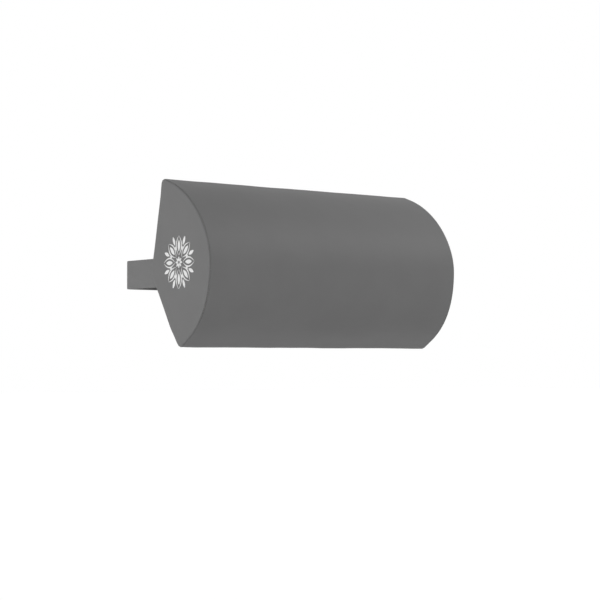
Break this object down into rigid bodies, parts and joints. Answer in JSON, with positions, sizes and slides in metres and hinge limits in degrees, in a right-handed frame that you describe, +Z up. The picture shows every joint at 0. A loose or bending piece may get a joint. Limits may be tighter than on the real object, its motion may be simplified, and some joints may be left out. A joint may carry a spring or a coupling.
{
  "type": "car neck pillow",
  "caption": "D-section foam neck pillow in a sewn cover with a rear zip, and a webbing strap with a side-release buckle that goes round a head restraint.",
  "frame": {"origin": "centre of the flat upper back face that rests against the head restraint", "axes": "+X along the pillow from its left end to its right end as seen from the front, +Y to the rear, through the strap's loop, +Z up; the pillow leans as it does on the seat and the strap lies level"},
  "size_m": [0.31, 0.1559, 0.1593],
  "materials": {
    "cover": "satin, very fine grain",
    "back_cover": "matt knitted cloth",
    "foam": "matt open foam",
    "zip_tape": "woven tape",
    "zip_metal": "satin plated",
    "webbing": "woven webbing",
    "buckle": "fine moulded texture"
  },
  "bodies": {
    "pillow": {"front_panel": "cover", "end_panel_left": "cover", "end_panel_right": "cover", "back_panel_upper": "back_cover", "back_panel_lower": "back_cover", "zip_end_tab_left": "back_cover", "zip_end_tab_right": "back_cover", "foam_core": "foam", "zip_tape_upper": "zip_tape", "zip_tape_lower": "zip_tape", "zip_top_stop_upper": "zip_metal", "zip_top_stop_lower": "zip_metal", "zip_bottom_stop": "zip_metal", "strap_left": "webbing", "strap_right": "webbing", "buckle_socket": "buckle"},
    "slider": {"zip_slider": "zip_metal"},
    "pull": {"zip_pull": "zip_metal"},
    "plug": {"buckle_plug": "buckle", "strap_keeper": "webbing"}
  },
  "joints": [
    {"name": "zip_slide", "type": "slide", "parent": "pillow", "child": "slider", "axis": [1, 0, 0], "range_m": [0, 0.211], "deforming": ["zip_tape_upper", "zip_tape_lower"]},
    {"name": "zip_pull_swing", "type": "hinge", "parent": "slider", "child": "pull", "pos_m": [-0.1075, -0.00924, -0.07786], "axis": [0, 0.5299, 0.848], "range_deg": [0, 180]},
    {"name": "buckle_release", "type": "slide", "parent": "pillow", "child": "plug", "axis": [1, 0, 0], "range_m": [0, 0.03], "deforming": ["strap_right", "buckle_plug"]}
  ]
}
